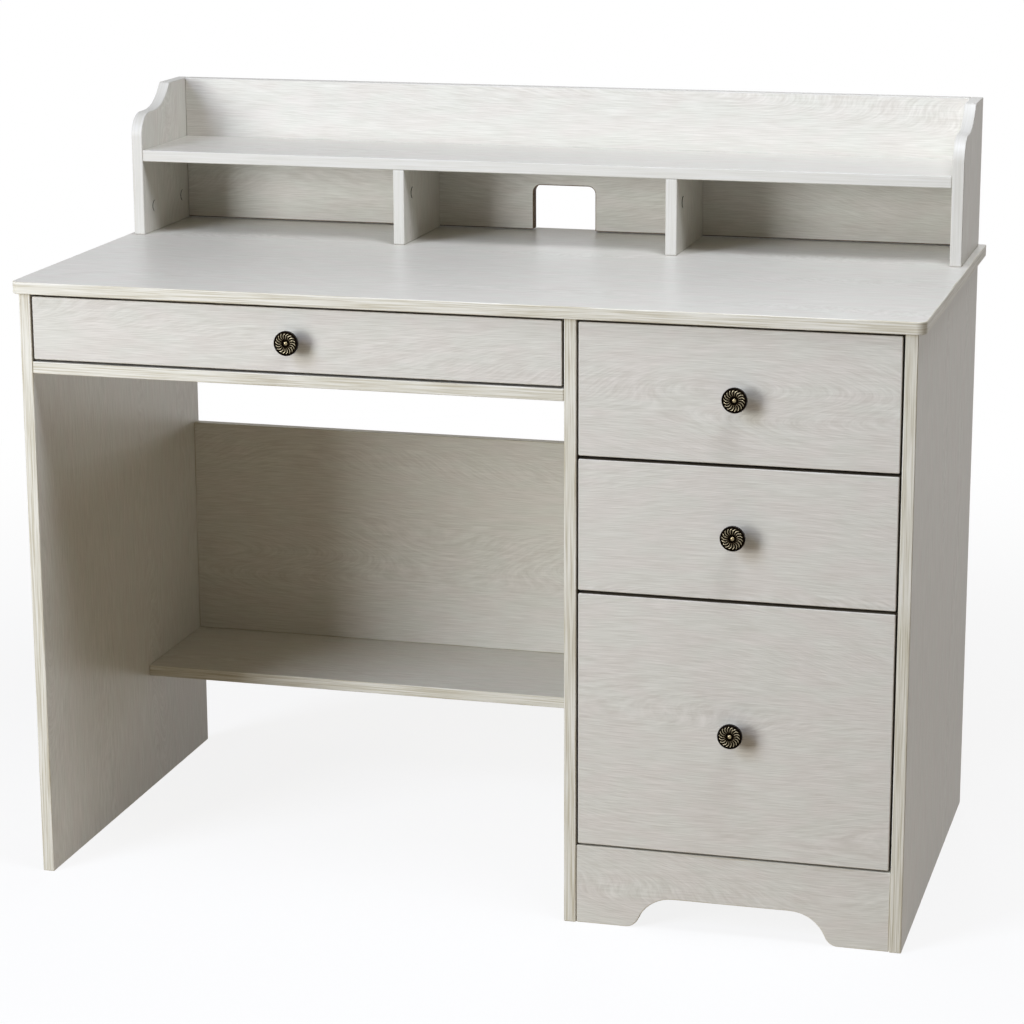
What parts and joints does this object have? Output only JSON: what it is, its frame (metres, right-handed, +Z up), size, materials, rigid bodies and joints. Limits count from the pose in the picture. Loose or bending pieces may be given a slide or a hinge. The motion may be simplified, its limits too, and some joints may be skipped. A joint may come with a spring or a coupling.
{
  "type": "student desk with hutch",
  "caption": "Whitewashed oak-grain student desk with a low bayed hutch, a wide pencil drawer, a drawer pedestal on an arched kick plate, a foot shelf and round bronze knobs.",
  "frame": {"origin": "middle of the footprint on the floor, knobs included", "axes": "+Z up, drawer fronts face -Y, the drawer pedestal is at +X"},
  "size_m": [1.12, 0.587, 0.956],
  "materials": {
    "oak_laminate": "whitewashed oak-grain laminate on particle board, satin",
    "drawer_board": "paper-wrapped drawer board, matt",
    "drawer_bottom": "faced hardboard sheet, matt",
    "runner_steel": "white epoxy-coated rolled steel",
    "nylon": "moulded nylon",
    "zinc_alloy": "zinc-plated fittings, dull",
    "bronze": "antique bronze plated casting, rubbed highlights"
  },
  "bodies": {
    "desk": {"desktop": "oak_laminate", "left_side_panel": "oak_laminate", "divider_panel": "oak_laminate", "right_side_panel": "oak_laminate", "pencil_drawer_shelf": "oak_laminate", "modesty_panel": "oak_laminate", "foot_shelf": "oak_laminate", "kick_plate": "oak_laminate", "pedestal_back_panel": "oak_laminate", "pedestal_bottom_panel": "oak_laminate", "hutch_left_end": "oak_laminate", "hutch_right_end": "oak_laminate", "hutch_back_panel": "oak_laminate", "hutch_shelf": "oak_laminate", "hutch_left_divider": "oak_laminate", "hutch_right_divider": "oak_laminate", "cam_locks": "zinc_alloy", "cam_bolts": "zinc_alloy", "runner_screws": "zinc_alloy", "carcass_runners": "runner_steel"},
    "pencil_drawer": {"pencil_drawer_front": "oak_laminate", "pencil_drawer_left_side": "drawer_board", "pencil_drawer_right_side": "drawer_board", "pencil_drawer_back": "drawer_board", "pencil_drawer_bottom": "drawer_bottom", "pencil_drawer_knob": "bronze", "pencil_drawer_screws": "zinc_alloy", "pencil_drawer_runners": "runner_steel"},
    "pencil_front_rollers": {"pencil_drawer_front_rollers": "nylon"},
    "pencil_rear_rollers": {"pencil_drawer_rear_rollers": "nylon"},
    "upper_drawer": {"upper_drawer_front": "oak_laminate", "upper_drawer_left_side": "drawer_board", "upper_drawer_right_side": "drawer_board", "upper_drawer_back": "drawer_board", "upper_drawer_bottom": "drawer_bottom", "upper_drawer_knob": "bronze", "upper_drawer_screws": "zinc_alloy", "upper_drawer_runners": "runner_steel"},
    "upper_front_rollers": {"upper_drawer_front_rollers": "nylon"},
    "upper_rear_rollers": {"upper_drawer_rear_rollers": "nylon"},
    "middle_drawer": {"middle_drawer_front": "oak_laminate", "middle_drawer_left_side": "drawer_board", "middle_drawer_right_side": "drawer_board", "middle_drawer_back": "drawer_board", "middle_drawer_bottom": "drawer_bottom", "middle_drawer_knob": "bronze", "middle_drawer_screws": "zinc_alloy", "middle_drawer_runners": "runner_steel"},
    "middle_front_rollers": {"middle_drawer_front_rollers": "nylon"},
    "middle_rear_rollers": {"middle_drawer_rear_rollers": "nylon"},
    "file_drawer": {"file_drawer_front": "oak_laminate", "file_drawer_left_side": "drawer_board", "file_drawer_right_side": "drawer_board", "file_drawer_back": "drawer_board", "file_drawer_bottom": "drawer_bottom", "file_drawer_knob": "bronze", "file_drawer_screws": "zinc_alloy", "file_drawer_runners": "runner_steel"},
    "file_front_rollers": {"file_drawer_front_rollers": "nylon"},
    "file_rear_rollers": {"file_drawer_rear_rollers": "nylon"}
  },
  "joints": [
    {"name": "pencil_drawer_slide", "type": "slide", "parent": "desk", "child": "pencil_drawer", "axis": [0, -1, 0], "range_m": [0, 0.335]},
    {"name": "pencil_front_rollers_turn", "type": "hinge", "parent": "desk", "child": "pencil_front_rollers", "pos_m": [-0.1995, -0.2395, 0.6862], "axis": [1, 0, 0], "range_deg": [-10, 2030]},
    {"name": "pencil_rear_rollers_turn", "type": "hinge", "parent": "pencil_drawer", "child": "pencil_rear_rollers", "pos_m": [-0.1995, 0.1725, 0.6855], "axis": [1, 0, 0], "range_deg": [-10, 2030]},
    {"name": "upper_drawer_slide", "type": "slide", "parent": "desk", "child": "upper_drawer", "axis": [0, -1, 0], "range_m": [0, 0.335]},
    {"name": "upper_front_rollers_turn", "type": "hinge", "parent": "desk", "child": "upper_front_rollers", "pos_m": [0.344, -0.2395, 0.6102], "axis": [1, 0, 0], "range_deg": [-10, 2030]},
    {"name": "upper_rear_rollers_turn", "type": "hinge", "parent": "upper_drawer", "child": "upper_rear_rollers", "pos_m": [0.344, 0.1725, 0.6095], "axis": [1, 0, 0], "range_deg": [-10, 2030]},
    {"name": "middle_drawer_slide", "type": "slide", "parent": "desk", "child": "middle_drawer", "axis": [0, -1, 0], "range_m": [0, 0.335]},
    {"name": "middle_front_rollers_turn", "type": "hinge", "parent": "desk", "child": "middle_front_rollers", "pos_m": [0.344, -0.2395, 0.4462], "axis": [1, 0, 0], "range_deg": [-10, 2030]},
    {"name": "middle_rear_rollers_turn", "type": "hinge", "parent": "middle_drawer", "child": "middle_rear_rollers", "pos_m": [0.344, 0.1725, 0.4455], "axis": [1, 0, 0], "range_deg": [-10, 2030]},
    {"name": "file_drawer_slide", "type": "slide", "parent": "desk", "child": "file_drawer", "axis": [0, -1, 0], "range_m": [0, 0.335]},
    {"name": "file_front_rollers_turn", "type": "hinge", "parent": "desk", "child": "file_front_rollers", "pos_m": [0.344, -0.2395, 0.1272], "axis": [1, 0, 0], "range_deg": [-10, 2030]},
    {"name": "file_rear_rollers_turn", "type": "hinge", "parent": "file_drawer", "child": "file_rear_rollers", "pos_m": [0.344, 0.1725, 0.1265], "axis": [1, 0, 0], "range_deg": [-10, 2030]}
  ],
  "couplings": [
    {"joint": "pencil_front_rollers_turn", "follows": "pencil_drawer_slide", "rad_per_m": 105.26},
    {"joint": "pencil_rear_rollers_turn", "follows": "pencil_drawer_slide", "rad_per_m": 105.26},
    {"joint": "upper_front_rollers_turn", "follows": "upper_drawer_slide", "rad_per_m": 105.26},
    {"joint": "upper_rear_rollers_turn", "follows": "upper_drawer_slide", "rad_per_m": 105.26},
    {"joint": "middle_front_rollers_turn", "follows": "middle_drawer_slide", "rad_per_m": 105.26},
    {"joint": "middle_rear_rollers_turn", "follows": "middle_drawer_slide", "rad_per_m": 105.26},
    {"joint": "file_front_rollers_turn", "follows": "file_drawer_slide", "rad_per_m": 105.26},
    {"joint": "file_rear_rollers_turn", "follows": "file_drawer_slide", "rad_per_m": 105.26}
  ]
}
